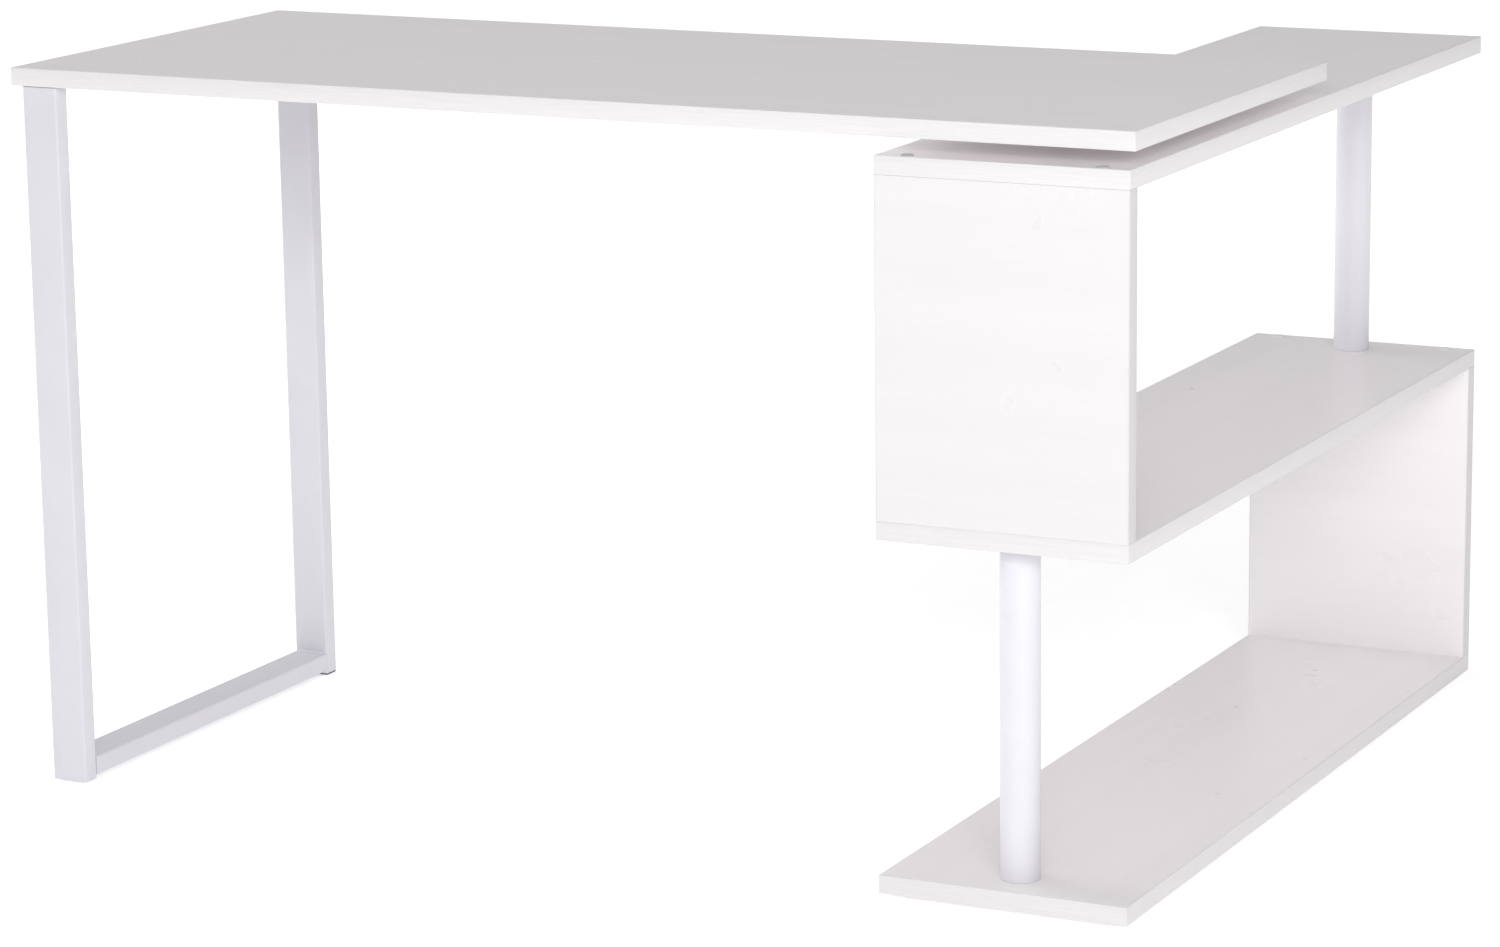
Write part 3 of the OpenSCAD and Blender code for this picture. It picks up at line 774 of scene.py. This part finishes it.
def cover_caps():
    """Caps over the visible heads: grey ones on the top board's front, their grey painted shade round
    their rims, and white ones on the middle board's rear and under its front."""
    low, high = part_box("screw_caps")
    xs = (low.x + CAP_R, high.x - CAP_R)
    front_y, rear_y = low.y + CAP_R, high.y - CAP_R
    caps = []
    # The top board's caps take the grey of painted shade; the others stay white
    for board, y, up, finish in (("top_board", front_y, 1, shade_grey_caps),
                                 ("middle_board", rear_y, 1, white_caps),
                                 ("middle_board", front_y, -1, white_caps)):
        board_low, board_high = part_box(board)
        face_z = board_high.z if up > 0 else board_low.z
        cap = cover_cap(f"caps_{board}_{len(caps)}", (xs[0], y), face_z, up)
        cap.data.materials.append(finish)
        caps.append(copies_at(cap, [(xs[0], y, 0), (xs[1], y, 0)]))
    join(*caps)
    caps[0].name = "cover_caps"
    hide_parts("screw_caps")
    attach(caps[0], SHELF)


def slip_ring(centre):
    """The ring between the two plates, on which the desk's plate slides."""
    low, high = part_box("slip_ring")
    ring = turned_ring("nylon_slip_ring", centre, RING_BORE_R, RING_R, low.z, high.z, RING_EASE)
    return give(ring, nylon, SHELF, "nylon", "slip_ring")


def pivot_washer(centre):
    """The washer under the top board."""
    low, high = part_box("pivot_washer")
    washer = turned_ring("steel_washer", centre, WASHER_BORE_R, WASHER_R, low.z, high.z, WASHER_EASE)
    return give(washer, zinc, DESK, "zinc_plated_steel", "pivot_washer")


def lock_nut(centre):
    """A hexagon nut with chamfered corners and a rounded collar that holds its nylon ring."""
    low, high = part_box("pivot_lock_nut")
    hex_height = HEX_SHARE * (high.z - low.z)
    hex_low = high.z - hex_height
    radius = (high.x - low.x) / 2
    deselect()
    bpy.ops.mesh.primitive_cylinder_add(vertices=6, radius=radius, depth=hex_height,
                                        location=(centre.x, centre.y, high.z - hex_height / 2))
    nut = bpy.context.object
    nut.name = "hexagon_lock_nut"
    settle(nut)
    work_on(nut)
    pick(nut, "edges", lambda e: not runs_along(e, ALONG_Z))
    bpy.ops.mesh.bevel(offset=NUT_CHAMFER, segments=2)
    deselect()
    bpy.ops.mesh.primitive_cylinder_add(vertices=ROUND_SIDES, radius=NUT_BORE_R, depth=3 * hex_height,
                                        location=(centre.x, centre.y, high.z))
    drill = bpy.context.object
    bore = nut.modifiers.new("bore", "BOOLEAN")
    bore.operation = "DIFFERENCE"
    bore.object = drill
    apply_modifiers(nut)
    bpy.data.objects.remove(drill)
    collar = turned_ring("nut_collar", centre, NUT_BORE_R, COLLAR_SHARE * radius,
                         low.z, hex_low + COLLAR_SUNK, COLLAR_EASE)
    join(nut, collar)
    finish_shape(nut)
    return give(nut, zinc, DESK, "zinc_plated_steel", "pivot_lock_nut")


rubber_pads()
leg_top_plugs()
nylon_glides()
cover_caps()
plate_low, plate_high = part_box("swivel_base_plate")
pivot = (plate_low + plate_high) / 2
slip_ring(pivot)
pivot_washer(pivot)
lock_nut(pivot)


# ---------------------------------------------------------------- studio

def studio_floor():
    """A wide sheet of paper on the floor."""
    deselect()
    bpy.ops.mesh.primitive_plane_add(size=FLOOR_SIZE, location=(0, 0, 0))
    floor = bpy.context.object
    floor.name = "studio_floor"
    floor.data.materials.append(studio_paper())


def soft_light(name, place, aim, size, power):
    """A rectangular softbox that lights the desk, hidden from the camera and from reflections."""
    light = bpy.data.lights.new(name, "AREA")
    light.shape = "RECTANGLE"
    light.size, light.size_y = size
    light.energy = power
    lamp = bpy.data.objects.new(name, light)
    bpy.context.scene.collection.objects.link(lamp)
    lamp.visible_camera = False
    lamp.visible_glossy = False
    lamp.location = place
    lamp.rotation_euler = (Vector(aim) - Vector(place)).to_track_quat("-Z", "Y").to_euler()


def studio_sky(strength):
    """Even white light from all round."""
    world = bpy.data.worlds.new("studio_sky")
    world.use_nodes = True
    back = world.node_tree.nodes["Background"]
    back.inputs["Color"].default_value = (1, 1, 1, 1)
    back.inputs["Strength"].default_value = strength
    bpy.context.scene.world = world


def studio_camera():
    """A long lens from the front right, a little above the desktop, leaning slightly."""
    ahead = Vector((-math.sin(CAMERA_AZIMUTH) * math.cos(CAMERA_DOWN),
                    math.cos(CAMERA_AZIMUTH) * math.cos(CAMERA_DOWN), -math.sin(CAMERA_DOWN)))
    level = Vector((math.cos(CAMERA_AZIMUTH), math.sin(CAMERA_AZIMUTH), 0))
    upright = level.cross(ahead)
    right = level * math.cos(CAMERA_ROLL) + upright * math.sin(CAMERA_ROLL)
    up = upright * math.cos(CAMERA_ROLL) - level * math.sin(CAMERA_ROLL)
    turn = Matrix((right, up, -ahead)).transposed()
    data = bpy.data.cameras.new("studio_camera")
    data.lens = CAMERA_LENS
    data.sensor_width = CAMERA_SENSOR
    camera = bpy.data.objects.new("studio_camera", data)
    bpy.context.scene.collection.objects.link(camera)
    camera.matrix_world = Matrix.Translation(CAMERA_AT) @ turn.to_4x4()
    bpy.context.scene.camera = camera


studio_floor()
studio_sky(SKY)
soft_light("key_softbox", place=(2.6, -4.2, 2.2), aim=(0.3, 0, 0.5), size=(2.2, 1.2),
           power=KEY_POWER)
soft_light("high_softbox", place=(0.8, -4.2, 3.4), aim=(0.2, 0, 0.45), size=(3.0, 2.2),
           power=HIGH_POWER)
soft_light("left_softbox", place=(-5.0, 0.5, 1.4), aim=(0.3, 0, 0.3), size=(3.0, 2.0),
           power=LEFT_POWER)
soft_light("low_softbox", place=(4.6, -2.4, 0.8), aim=(0.4, 0.1, 0.2), size=(2.4, 1.4),
           power=LOW_POWER)
# A faint fill in the gap under the desktop, where the softboxes hardly reach
gap_light_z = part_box("desktop")[0].z - GAP_LIGHT_DROP
soft_light("gap_fill", place=(pivot.x, pivot.y, gap_light_z), aim=(pivot.x, pivot.y, 0),
           size=(0.25, 0.5), power=GAP_POWER)
bpy.context.scene.view_settings.view_transform = "Standard"
studio_camera()
